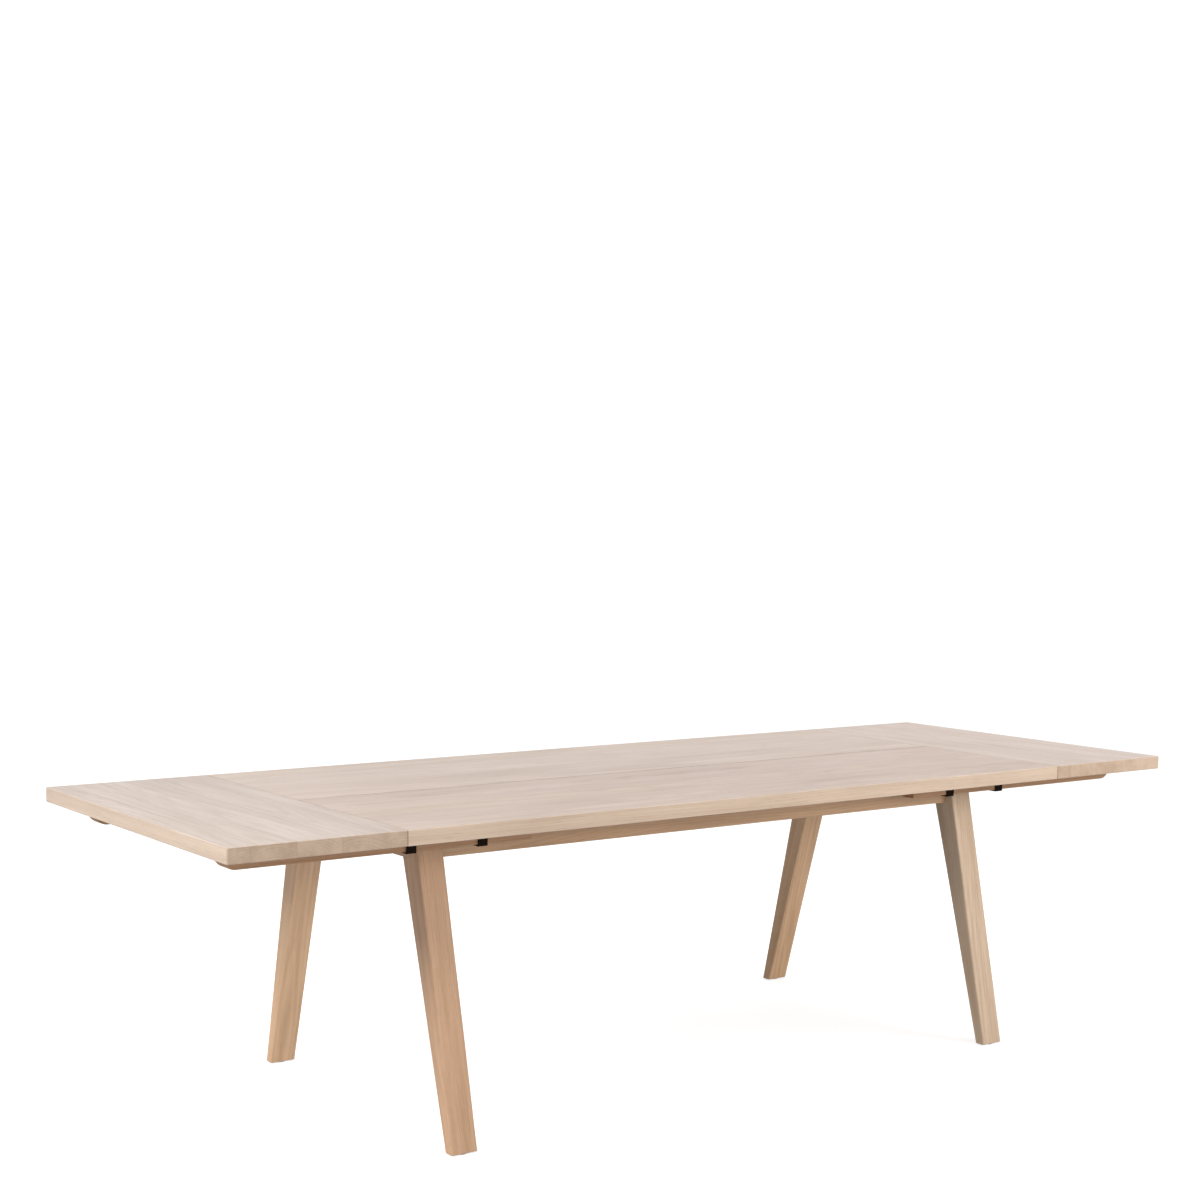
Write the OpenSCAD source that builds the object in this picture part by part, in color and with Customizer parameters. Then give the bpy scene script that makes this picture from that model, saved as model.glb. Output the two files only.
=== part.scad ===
// Extending dining table with two clip-on leaves, shown fully extended.
// Frame: +X along the length, -Y is the front long side, +Z up.
// The origin is on the floor under the middle of the table. Units are mm.

/* [Top] */
// length of the fixed main top, without leaves
main_len = 2000; // [1900:10:2200]
// width of the whole top
top_w = 1000; // [960:10:1100]
// thickness of the main top and of the leaves
top_t = 35; // [32:1:42]
// height of the top surface above the floor
table_h = 750; // [720:5:780]
// length that one leaf adds
leaf_len = 415; // [380:5:480]
// gap between a seated leaf and the main top
seam_gap = 0.5; // [0.2:0.1:1.5]
// gap between the two halves of the main top
centre_gap = 0.6; // [0.2:0.1:1.5]
// size of the flat on every outer edge of the boards
ease = 1.5; // [0.5:0.5:3]

/* [Legs] */
// distance from the middle of the table to a leg's outer end face
leg_out_x = 867; // [840:1:880]
// width of a leg along the table
leg_w = 68; // [60:1:72]
// outer and inner distance of a foot from the middle line
foot_out_y = 459; // [440:1:475]
// inner distance of a foot from the middle line
foot_in_y = 430; // [415:1:432]
// outer distance of a leg's head from the middle line
head_out_y = 297; // [290:1:300]
// inner distance of a leg's head from the middle line
head_in_y = 223; // [220:1:228]
// size of the flat on a leg's long edges
leg_ease = 3; // [1:0.5:5]
// radius of a floor glide
glide_r = 11; // [8:0.5:13]
// thickness of a floor glide
glide_t = 3; // [2:0.5:5]

/* [Rails] */
// height of the side and end rails
rail_h = 75; // [70:1:80]
// thickness of all rails
rail_t = 22; // [20:1:24]
// distance from the middle line to a side rail's outer face
side_rail_y = 287; // [285:1:288]
// how far an end rail sits behind the legs' outer end faces
end_rail_in = 7; // [2:1:12]
// distance of a cross rail from the middle of the table
cross_x = 300; // [200:10:340]
// height of a cross rail
cross_h = 60; // [40:1:65]

/* [Runners] */
// distance from the middle line to a runner's centre
run_y = 345; // [343:1:350]
// width of a runner
run_w = 42; // [36:1:44]
// height of a runner
run_h = 38; // [34:1:42]
// distance of a pulled-out runner's tip from the table's middle
run_tip_x = 1365; // [1340:5:1385]
// length of a runner
run_len = 765; // [740:5:800]
// how far a runner pushes in
run_travel = 370; // [340:5:370]
// radius of the rounded lower tip
run_nose_r = 34; // [20:1:34]
// gap between a runner and the underside of the top
run_gap_z = 0.5; // [0.3:0.1:1]

/* [Guides] */
// distance of an inner guide from the middle of the table
guide_in_x = 732; // [728:1:736]
// distance of an outer guide from the middle of the table
guide_out_x = 916; // [906:1:926]
// length of a guide along the runner
guide_l = 24; // [20:1:26]
// wall thickness of a guide
guide_t = 4; // [3:0.5:5]
// play between a runner and a guide on each side
guide_play = 0.35; // [0.3:0.05:0.6]
// width of a guide's screw flange
guide_fl = 14; // [12:1:15]

/* [Leaf pins] */
// radius of a leaf pin
pin_r = 4; // [3:0.5:5]
// how deep a pin is set in the leaf
pin_in = 30; // [20:1:40]
// how far a pin reaches into the main top
pin_out = 32; // [20:1:34]
// wall thickness of the metal sleeve for a pin
sleeve_wall = 2; // [1.5:0.5:2.5]
// running play between a pin and its sleeve
pin_play = 0.05; // [0.02:0.01:0.1]
// distances of the pins from the middle line
pin_y_near = 150; // [100:10:200]
// distance of the outer pins from the middle line
pin_y_far = 400; // [340:10:430]

/* [Hidden] */
$fn = 48;

oak = [0.84, 0.74, 0.65];
oak_dark = [0.76, 0.62, 0.50];
black = [0.03, 0.03, 0.03];
steel = [0.66, 0.67, 0.69];
brass = [0.80, 0.66, 0.38];
beech = [0.82, 0.67, 0.50];
grey = [0.45, 0.43, 0.41];

half_l = main_len / 2;
half_w = top_w / 2;
top_z = table_h - top_t;
mid_z = table_h - top_t / 2;
leg_in_x = leg_out_x - leg_w;
out_slope = (foot_out_y - head_out_y) / top_z;
in_slope = (foot_in_y - head_in_y) / top_z;
rail_z = top_z - rail_h;
side_in_y = side_rail_y - rail_t;
end_out_x = leg_out_x - end_rail_in;
end_in_x = end_out_x - rail_t;
run_top = top_z - run_gap_z;
run_bot = run_top - run_h;
stop_r = 3;
stop_gap = 0.4;
stop_z = run_bot + 19;
dowel_x = [-800, -480, -160, 160, 480, 800];
pin_ys = [pin_y_near, pin_y_far];

// inner and outer distance of a leg from the middle line at height z
function leg_out(z) = foot_out_y - out_slope * z;
function leg_in(z) = foot_in_y - in_slope * z;

// put a piece drawn for the right-hand back corner in another corner
module at(sx, sy)
  mirror([sx < 0 ? 1 : 0, 0, 0])
    mirror([0, sy < 0 ? 1 : 0, 0])
      children();

module all_corners()
  for (sx = [-1, 1])
    for (sy = [-1, 1])
      at(sx, sy)
        children();

// rectangle from a to b with its four corners cut off by c
module cut_rect(a, b, c)
  polygon([
    [a[0] + c, a[1]], [b[0] - c, a[1]], [b[0], a[1] + c], [b[0], b[1] - c],
    [b[0] - c, b[1]], [a[0] + c, b[1]], [a[0], b[1] - c], [a[0], a[1] + c]]);

// board from corner p to corner q with all twelve edges eased by c
module board(p, q, c)
  intersection() {
    translate([0, 0, p[2]])
      linear_extrude(q[2] - p[2])
        cut_rect([p[0], p[1]], [q[0], q[1]], c);
    translate([p[0], 0, 0])
      rotate([90, 0, 90])
        linear_extrude(q[0] - p[0])
          cut_rect([p[1], p[2]], [q[1], q[2]], c);
    translate([0, q[1], 0])
      rotate([90, 0, 0])
        linear_extrude(q[1] - p[1])
          cut_rect([p[0], p[2]], [q[0], q[2]], c);
  }

// round bar along X, along Y or along Z, from its start point
module bar_x(x, y, z, l, r)
  translate([x, y, z])
    rotate([0, 90, 0])
      cylinder(h = l, r = r);

module bar_y(x, y, z, l, r)
  translate([x, y, z])
    rotate([-90, 0, 0])
      cylinder(h = l, r = r);

module bar_z(x, y, z, l, r)
  translate([x, y, z])
    cylinder(h = l, r = r);

// positions of the screws that go up into the top, and their pilot holes
clip_x = [0, 560];
clip_w = 20;
clip_l = 24;
clip_t = 2.5;
clip_mid = clip_t + (clip_l - clip_t) / 2;
flange_y = run_w / 2 + guide_play + guide_t + guide_fl / 2;

module top_pilot_holes() {
  for (sx = [-1, 1]) {
    for (gx = [guide_in_x, guide_out_x])
      for (s = [-1, 1])
        bar_z(sx * gx, run_y + s * flange_y, top_z - 1, 16, 2);
  }
  for (cx = [-clip_x[1], clip_x[0], clip_x[1]])
    bar_z(cx, side_in_y - clip_mid, top_z - 1, 16, 2);
}

// one half of the main top, drawn on the back side
module top_half()
  difference() {
    board([-half_l, centre_gap / 2, top_z], [half_l, half_w, table_h], ease);
    for (x = dowel_x)
      bar_y(x, -1, mid_z, 32, 5);
    for (sx = [-1, 1])
      for (y = pin_ys)
        at(sx, 1)
          bar_x(half_l - 40, y, mid_z, 41, pin_r + sleeve_wall);
    top_pilot_holes();
    for (sx = [-1, 1])
      bar_z(sx * (end_in_x - clip_mid), 60, top_z - 1, 16, 2);
  }

module top_panel_front() color(oak) at(1, -1) top_half();
module top_panel_back() color(oak) top_half();

// one leaf, drawn on the right
module leaf()
  difference() {
    board([half_l + seam_gap, -half_w, top_z], [half_l + leaf_len, half_w, table_h], ease);
    for (y = [-pin_y_far, -pin_y_near, pin_y_near, pin_y_far])
      bar_x(half_l, y, mid_z, seam_gap + pin_in, pin_r);
  }

module leaf_left() color(oak) at(-1, 1) leaf();
module leaf_right() color(oak) leaf();

module leaf_pins()
  for (y = [-pin_y_far, -pin_y_near, pin_y_near, pin_y_far])
    bar_x(half_l - pin_out, y, mid_z, pin_out + seam_gap + pin_in, pin_r);

module leaf_pins_left() color(steel) at(-1, 1) leaf_pins();
module leaf_pins_right() color(steel) leaf_pins();

// bolt that ties a corner bracket to a leg runs at 45 degrees in plan
bolt_r = 4;
bolt_z = [rail_z + 27, rail_z + 52];
bracket_t = 3;
bracket_sum = leg_in_x + head_in_y - 6;
diag_x0 = bracket_sum - side_in_y;
diag_y0 = bracket_sum - end_in_x;
bolt_x = (diag_x0 + end_in_x) / 2;
bolt_y = (diag_y0 + side_in_y) / 2;
flange_l = 40;

// round bar along the diagonal, from a to b measured from the bracket's outer face
module diag_bar(z, a, b, r)
  translate([bolt_x, bolt_y, z])
    rotate([0, 0, 45])
      rotate([0, 90, 0])
        translate([0, 0, a])
          cylinder(h = b - a, r = r);

// cutter that takes the sharp edge off a leg along the line from y0 on the floor to y1 at the top
module edge_cut(x, y0, y1)
  translate([x, y0, 0])
    rotate([atan2(y0 - y1, top_z), 0, 0])
      rotate([0, 0, 45])
        translate([-leg_ease / sqrt(2), -leg_ease / sqrt(2), -20])
          cube([leg_ease * sqrt(2), leg_ease * sqrt(2), top_z + 80]);

// tapered leg that leans outwards, drawn at the right-hand back corner
module leg()
  difference() {
    translate([leg_in_x, 0, 0])
      rotate([90, 0, 90])
        linear_extrude(leg_w)
          polygon([
            [leg_in(glide_t), glide_t], [leg_out(glide_t), glide_t],
            [leg_out(top_z), top_z], [leg_in(top_z), top_z]]);
    for (x = [leg_in_x, leg_out_x]) {
      edge_cut(x, foot_out_y, head_out_y);
      edge_cut(x, foot_in_y, head_in_y);
    }
    for (z = bolt_z)
      diag_bar(z, 0, 50, bolt_r);
    bar_z(leg_in_x + leg_w / 2, (foot_in_y + foot_out_y) / 2, 0, 16, 1.5);
  }

module leg_front_left() color(oak_dark) at(-1, -1) leg();
module leg_front_right() color(oak_dark) at(1, -1) leg();
module leg_back_left() color(oak_dark) at(-1, 1) leg();
module leg_back_right() color(oak_dark) leg();

// nail-on floor glide with a slightly domed edge
module glide()
  translate([leg_in_x + leg_w / 2, (foot_in_y + foot_out_y) / 2, 0]) {
    cylinder(h = 1, r1 = glide_r - 1, r2 = glide_r);
    translate([0, 0, 1])
      cylinder(h = glide_t - 1, r = glide_r);
    cylinder(h = 15, r = 1.5);
  }

module glide_front_left() color(grey) at(-1, -1) glide();
module glide_front_right() color(grey) at(1, -1) glide();
module glide_back_left() color(grey) at(-1, 1) glide();
module glide_back_right() color(grey) glide();

// pilot holes for the screws of a corner bracket and of the top clips
screw_r = 2;
flange_z = [rail_z + 27, rail_z + 52];

module rail_pilots_y(x)
  for (z = flange_z)
    bar_y(x, side_in_y - 1, z, 17, screw_r);

module side_rail()
  difference() {
    board([-leg_in_x, side_in_y, rail_z], [leg_in_x, side_rail_y, top_z], 1);
    for (sx = [-1, 1])
      rail_pilots_y(sx * (diag_x0 - flange_l / 2));
    for (cx = [-clip_x[1], clip_x[0], clip_x[1]])
      bar_y(cx, side_in_y - 1, top_z - clip_mid, 17, screw_r);
  }

module side_rail_front() color(oak_dark) at(1, -1) side_rail();
module side_rail_back() color(oak_dark) side_rail();

// end rail with sloping ends that meet the legs, drawn on the right
module end_rail()
  difference() {
    translate([end_in_x, 0, 0])
      rotate([90, 0, 90])
        linear_extrude(rail_t)
          polygon([
            [-leg_in(rail_z), rail_z], [leg_in(rail_z), rail_z],
            [leg_in(top_z), top_z], [-leg_in(top_z), top_z]]);
    for (sy = [-1, 1])
      for (z = flange_z)
        bar_x(end_in_x - 1, sy * (diag_y0 - flange_l / 2), z, 17, screw_r);
    for (sy = [-1, 1])
      bar_x(end_in_x - 1, sy * 60, top_z - clip_mid, 17, screw_r);
  }

module end_rail_left() color(oak_dark) at(-1, 1) end_rail();
module end_rail_right() color(oak_dark) end_rail();

module cross_rail()
  board([cross_x - rail_t / 2, -side_in_y, top_z - cross_h],
        [cross_x + rail_t / 2, side_in_y, top_z], 1);

module cross_rail_left() color(oak_dark) at(-1, 1) cross_rail();
module cross_rail_right() color(oak_dark) cross_rail();

// runner drawn pulled out at the right-hand back corner; its lower tip is rounded
stop_in_x = guide_in_x - guide_l / 2 - stop_r - stop_gap;
stop_out_x = guide_out_x + guide_l / 2 + stop_r + stop_gap + run_travel;
run_tail_x = run_tip_x - run_len;
run_in_y = run_y - run_w / 2;

module runner()
  difference() {
    translate([0, run_y + run_w / 2, 0])
      rotate([90, 0, 0])
        linear_extrude(run_w)
          union() {
            translate([run_tail_x, run_bot])
              square([run_len - run_nose_r, run_h]);
            translate([run_tail_x, run_bot + run_nose_r])
              square([run_len, run_h - run_nose_r]);
            intersection() {
              translate([run_tip_x - run_nose_r, run_bot + run_nose_r])
                circle(r = run_nose_r);
              translate([run_tip_x - run_nose_r, run_bot])
                square([run_nose_r, run_nose_r]);
            }
          }
    for (x = [stop_in_x, stop_out_x])
      bar_y(x, run_in_y - 1, stop_z, 21, stop_r);
  }

module runner_front_left() color(oak_dark) at(-1, -1) runner();
module runner_front_right() color(oak_dark) at(1, -1) runner();
module runner_back_left() color(oak_dark) at(-1, 1) runner();
module runner_back_right() color(oak_dark) runner();

// two dowels on a runner's inner side that stop it against its guides
module runner_stops()
  for (x = [stop_in_x, stop_out_x])
    bar_y(x, run_in_y - 12, stop_z, 32, stop_r);

module runner_stops_front_left() color(beech) at(-1, -1) runner_stops();
module runner_stops_front_right() color(beech) at(1, -1) runner_stops();
module runner_stops_back_left() color(beech) at(-1, 1) runner_stops();
module runner_stops_back_right() color(beech) runner_stops();

// saddle that hangs under the top and carries a runner
hw = run_w / 2 + guide_play;
g_bot = run_bot - guide_play - guide_t;

module guide(x)
  difference() {
    translate([x - guide_l / 2, run_y, 0])
      rotate([90, 0, 90])
        linear_extrude(guide_l)
          polygon([
            [-hw - guide_t, g_bot + 2], [-hw - guide_t + 2, g_bot],
            [hw + guide_t - 2, g_bot], [hw + guide_t, g_bot + 2],
            [hw + guide_t, top_z - guide_t], [hw + guide_t + guide_fl, top_z - guide_t],
            [hw + guide_t + guide_fl, top_z], [hw, top_z],
            [hw, run_bot - guide_play], [-hw, run_bot - guide_play],
            [-hw, top_z], [-hw - guide_t - guide_fl, top_z],
            [-hw - guide_t - guide_fl, top_z - guide_t], [-hw - guide_t, top_z - guide_t]]);
    for (s = [-1, 1])
      bar_z(x, run_y + s * flange_y, top_z - guide_t - 1, guide_t + 2, screw_r);
  }

module guide_front_left_outer() color(black) at(-1, -1) guide(guide_out_x);
module guide_front_left_inner() color(black) at(-1, -1) guide(guide_in_x);
module guide_front_right_outer() color(black) at(1, -1) guide(guide_out_x);
module guide_front_right_inner() color(black) at(1, -1) guide(guide_in_x);
module guide_back_left_outer() color(black) at(-1, 1) guide(guide_out_x);
module guide_back_left_inner() color(black) at(-1, 1) guide(guide_in_x);
module guide_back_right_outer() color(black) guide(guide_out_x);
module guide_back_right_inner() color(black) guide(guide_in_x);

// screw standing up along Z from the underside of its head
module screw_up(x, y, z, l)
  translate([x, y, z]) {
    difference() {
      translate([0, 0, -2])
        cylinder(h = 2, r1 = 3, r2 = 3.8);
      translate([0, 0, -2.5])
        cylinder(h = 1.5, r = 1.6, $fn = 6);
    }
    cylinder(h = l, r = screw_r);
  }

module guide_screws()
  color(steel)
    all_corners()
      for (gx = [guide_in_x, guide_out_x])
        for (s = [-1, 1])
          screw_up(gx, run_y + s * flange_y, top_z - guide_t, 17);

// bent steel plate across the inside of a corner
module corner_bracket() {
  k = bracket_t * (sqrt(2) - 1);
  difference() {
    translate([0, 0, rail_z + 14])
      linear_extrude(51)
        polygon([
          [diag_x0 - flange_l, side_in_y], [diag_x0, side_in_y],
          [end_in_x, diag_y0], [end_in_x, diag_y0 - flange_l],
          [end_in_x - bracket_t, diag_y0 - flange_l], [end_in_x - bracket_t, diag_y0 - k],
          [diag_x0 - k, side_in_y - bracket_t], [diag_x0 - flange_l, side_in_y - bracket_t]]);
    for (z = bolt_z)
      diag_bar(z, -10, 10, bolt_r + 0.3);
    for (z = flange_z) {
      bar_y(diag_x0 - flange_l / 2, side_in_y - 5, z, 10, screw_r);
      bar_x(end_in_x - 5, diag_y0 - flange_l / 2, z, 10, screw_r);
    }
  }
}

module corner_bracket_front_left() color(steel) at(-1, -1) corner_bracket();
module corner_bracket_front_right() color(steel) at(1, -1) corner_bracket();
module corner_bracket_back_left() color(steel) at(-1, 1) corner_bracket();
module corner_bracket_back_right() color(steel) corner_bracket();

module leg_bolts()
  color(steel)
    all_corners()
      for (z = bolt_z)
        diag_bar(z, -16, 48, bolt_r);

// six-sided nut against the inside of a bracket
module leg_nuts()
  color(steel)
    all_corners()
      for (z = bolt_z)
        difference() {
          translate([bolt_x, bolt_y, z])
            rotate([0, 0, 45])
              rotate([0, 90, 0])
                translate([0, 0, -bracket_t - 6.5])
                  cylinder(h = 6.5, r = 7.5, $fn = 6);
          diag_bar(z, -20, 5, bolt_r);
        }

module bracket_screws()
  color(steel)
    all_corners()
      for (z = flange_z) {
        translate([diag_x0 - flange_l / 2, side_in_y - bracket_t, z])
          rotate([-90, 0, 0])
            screw_up(0, 0, 0, 18);
        translate([end_in_x - bracket_t, diag_y0 - flange_l / 2, z])
          rotate([0, 90, 0])
            screw_up(0, 0, 0, 18);
      }

// small angle that ties a rail to the top, drawn against a face at y = 0
module clip()
  difference() {
    translate([-clip_w / 2, 0, 0])
      rotate([90, 0, 90])
        linear_extrude(clip_w)
          polygon([
            [0, top_z], [0, top_z - clip_l], [-clip_t, top_z - clip_l],
            [-clip_t, top_z - clip_t], [-clip_l, top_z - clip_t], [-clip_l, top_z]]);
    bar_z(0, -clip_mid, top_z - 5, 10, screw_r);
    bar_y(0, -5, top_z - clip_mid, 10, screw_r);
  }

module clip_places() {
  for (sy = [-1, 1])
    at(1, sy)
      for (cx = [-clip_x[1], clip_x[0], clip_x[1]])
        translate([cx, side_in_y, 0])
          children();
  for (sx = [-1, 1])
    at(sx, 1)
      for (y = [-60, 60])
        translate([end_in_x, y, 0])
          rotate([0, 0, -90])
            children();
}

module top_clips()
  color(steel)
    clip_places()
      clip();

module top_clip_screws()
  color(steel)
    clip_places() {
      screw_up(0, -clip_mid, top_z - clip_t, 16);
      translate([0, -clip_t, top_z - clip_mid])
        rotate([-90, 0, 0])
          screw_up(0, 0, 0, 16);
    }

module panel_dowels()
  color(beech)
    for (x = dowel_x)
      bar_y(x, -30, mid_z, 60, 5);

module pin_sleeves()
  color(brass)
    all_corners()
      for (y = pin_ys)
        difference() {
          bar_x(half_l - 36, y, mid_z, 36, pin_r + sleeve_wall);
          bar_x(half_l - 37, y, mid_z, 38, pin_r + pin_play);
        }

top_panel_front();
top_panel_back();
leaf_left();
leaf_right();
leg_front_left();
leg_front_right();
leg_back_left();
leg_back_right();
glide_front_left();
glide_front_right();
glide_back_left();
glide_back_right();
side_rail_front();
side_rail_back();
end_rail_left();
end_rail_right();
cross_rail_left();
cross_rail_right();
runner_front_left();
runner_front_right();
runner_back_left();
runner_back_right();
runner_stops_front_left();
runner_stops_front_right();
runner_stops_back_left();
runner_stops_back_right();
guide_front_left_outer();
guide_front_left_inner();
guide_front_right_outer();
guide_front_right_inner();
guide_back_left_outer();
guide_back_left_inner();
guide_back_right_outer();
guide_back_right_inner();
guide_screws();
corner_bracket_front_left();
corner_bracket_front_right();
corner_bracket_back_left();
corner_bracket_back_right();
leg_bolts();
leg_nuts();
bracket_screws();
top_clips();
top_clip_screws();
panel_dowels();
pin_sleeves();
leaf_pins_left();
leaf_pins_right();
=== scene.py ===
"""Looks of an extending dining table in pale oiled oak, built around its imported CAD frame.

Metres throughout. +X runs along the table, -Y is the front long side, +Z is up.
"""
import math

import bpy
from mathutils import Matrix, Vector


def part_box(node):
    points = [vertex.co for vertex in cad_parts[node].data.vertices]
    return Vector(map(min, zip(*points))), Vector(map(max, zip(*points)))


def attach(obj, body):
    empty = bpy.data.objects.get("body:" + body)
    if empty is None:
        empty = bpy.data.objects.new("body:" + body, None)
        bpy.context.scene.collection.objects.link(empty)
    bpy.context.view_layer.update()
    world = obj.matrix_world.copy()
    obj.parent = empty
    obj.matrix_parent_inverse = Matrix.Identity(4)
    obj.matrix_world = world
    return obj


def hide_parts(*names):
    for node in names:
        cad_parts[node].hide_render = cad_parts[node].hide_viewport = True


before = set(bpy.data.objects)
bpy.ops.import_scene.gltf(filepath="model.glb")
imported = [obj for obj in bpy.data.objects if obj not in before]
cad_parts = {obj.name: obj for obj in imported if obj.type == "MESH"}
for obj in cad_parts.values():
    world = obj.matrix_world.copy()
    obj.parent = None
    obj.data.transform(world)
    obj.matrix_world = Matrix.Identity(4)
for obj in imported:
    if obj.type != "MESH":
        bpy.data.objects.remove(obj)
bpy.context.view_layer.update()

MM = 0.001
X, Y, Z = range(3)
CORNERS = [(side, end) for side in ("front", "back") for end in ("left", "right")]
BOARD_ROUND = 2.2 * MM      # rounding on the edges of the top boards and leaves
BOARD_CORNER = 6.0 * MM     # rounding on their upright corners
JOINT_ROUND = 0.7 * MM      # rounding along the joints between the boards
SEAM_CORNER = 1.8 * MM      # rounding on the upright corners where a leaf meets the top
LEG_ROUND = 4.5 * MM        # rounding on the long edges of a leg
RAIL_ROUND = 1.6 * MM       # rounding on the rails
RUNNER_ROUND = 1.2 * MM     # rounding on the runners
NOSE_ROUND = 33.5 * MM      # quarter round under a runner's tip
SLEEVE_HOLE = 6.03 * MM     # radius of the hole for a pin sleeve in the end of a top board
SLEEVE_DEPTH = 36.2 * MM    # depth of that hole
PIN_NEAR = 150 * MM         # distance of the inner leaf pins from the middle line
LEG_HEAD_DEEP = 74.2 * MM   # a leg's head, measured across the table
LEG_FOOT_DEEP = 29.15 * MM  # a leg's foot, measured across the table
FOOT_ROUND = 1.5 * MM       # rounding round the underside of a leg
GLIDE_THICK = 3 * MM        # disc of a floor glide
GLIDE_ROUND = 0.8 * MM      # rounding on its rim
NAIL_RADIUS = 1.5 * MM      # nail in the middle of a glide
PLASTIC_EASE = 0.5 * MM     # eased edges of a guide
PLATE_EASE = 0.4 * MM       # eased edges of a corner plate
SMALL_EASE = 0.35 * MM      # eased edges of the angles and nuts
SNUG = 0.01 * MM            # two places closer than this are the same place
DRILL_PROUD = 2 * MM        # how far a drill stands out of the wood it cuts
SMOOTH_BELOW = math.radians(35)     # faces that meet at less than this are shaded as one
EASE_ABOVE = math.radians(30)       # edges of hardware sharper than this are eased
NEARLY_FLAT = math.radians(0.5)     # faces that meet at less than this are one flat face


# ---------------------------------------------------------------- making shapes

def let_go():
    """Object mode, with nothing selected."""
    if bpy.context.mode != "OBJECT":
        bpy.ops.object.mode_set(mode="OBJECT")
    bpy.ops.object.select_all(action="DESELECT")


def hold(piece):
    """Selects one piece and makes it the active one."""
    let_go()
    piece.select_set(True)
    bpy.context.view_layer.objects.active = piece


def settle(piece):
    """Puts the piece's place and size into its mesh."""
    hold(piece)
    bpy.ops.object.transform_apply(location=True, rotation=True, scale=True)


def block(name, low, high):
    """A block of wood between two corners, ready to be shaped."""
    let_go()
    low, high = Vector(low), Vector(high)
    bpy.ops.mesh.primitive_cube_add(size=1, location=(low + high) / 2, scale=high - low)
    piece = bpy.context.object
    piece.name = piece.data.name = name
    settle(piece)
    return piece


def pick(piece, kind, wanted):
    """Goes into edit mode with just the wanted edges or faces selected."""
    hold(piece)
    bpy.ops.object.mode_set(mode="EDIT")
    bpy.ops.mesh.select_mode(type=kind)
    bpy.ops.mesh.select_all(action="DESELECT")
    bpy.ops.object.mode_set(mode="OBJECT")
    mesh = piece.data
    if kind == "EDGE":
        for edge in mesh.edges:
            edge.select = wanted(*(mesh.vertices[i].co for i in edge.vertices))
    else:
        for face in mesh.polygons:
            face.select = wanted(face.center, face.normal)
    bpy.ops.object.mode_set(mode="EDIT")


def round_over(piece, wanted, radius, steps=4):
    """Rounds the edges that wanted(a, b) says, by a radius."""
    pick(piece, "EDGE", wanted)
    bpy.ops.mesh.bevel(offset=radius, segments=steps, profile=0.5, affect="EDGES")
    let_go()


def sand(piece):
    """Smooth over the rounded edges, flat over the faces."""
    hold(piece)
    bpy.ops.object.shade_smooth_by_angle(angle=SMOOTH_BELOW)
    bpy.ops.object.modifier_add(type="WEIGHTED_NORMAL")
    piece.modifiers[-1].keep_sharp = True
    bpy.ops.object.modifier_apply(modifier=piece.modifiers[-1].name)
    let_go()


def drill(piece, start, along, radius, depth):
    """A round hole with its mouth at start, going in along a direction."""
    let_go()
    along = Vector(along).normalized()
    turn = Vector((0, 0, 1)).rotation_difference(along).to_euler()
    centre = Vector(start) + along * (depth - DRILL_PROUD) / 2
    bpy.ops.mesh.primitive_cylinder_add(
        vertices=40, radius=radius, depth=depth + DRILL_PROUD, location=centre, rotation=turn)
    cutter = bpy.context.object
    hold(piece)
    bpy.ops.object.modifier_add(type="BOOLEAN")
    cut = piece.modifiers[-1]
    cut.object, cut.solver = cutter, "EXACT"
    bpy.ops.object.modifier_apply(modifier=cut.name)
    bpy.data.objects.remove(cutter)


def upright(a, b):
    """An edge that stands up."""
    return abs(a.x - b.x) < SNUG and abs(a.y - b.y) < SNUG


def lies_at(a, b, axis, place):
    """An edge with both its ends at one place along an axis."""
    return abs(a[axis] - place) < SNUG and abs(b[axis] - place) < SNUG


def from_frame(name, node, radius, steps=3):
    """A copy of a CAD node's shape with its edges eased, for small hardware and plastic."""
    let_go()
    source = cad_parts[node]
    piece = bpy.data.objects.new(name, source.data.copy())
    piece.data.name = name
    bpy.context.scene.collection.objects.link(piece)
    hold(piece)
    bpy.ops.object.mode_set(mode="EDIT")
    bpy.ops.mesh.select_all(action="SELECT")
    bpy.ops.mesh.remove_doubles(threshold=0.001 * MM)
    bpy.ops.mesh.dissolve_limited(angle_limit=NEARLY_FLAT)
    bpy.ops.mesh.normals_make_consistent(inside=False)
    bpy.ops.object.mode_set(mode="OBJECT")
    bpy.ops.object.modifier_add(type="BEVEL")
    ease = piece.modifiers[-1]
    ease.width, ease.segments = radius, steps
    ease.limit_method, ease.angle_limit = "ANGLE", EASE_ABOVE
    ease.use_clamp_overlap = True
    bpy.ops.object.modifier_apply(modifier=ease.name)
    sand(piece)
    return piece


# ---------------------------------------------------------------- node building

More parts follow.
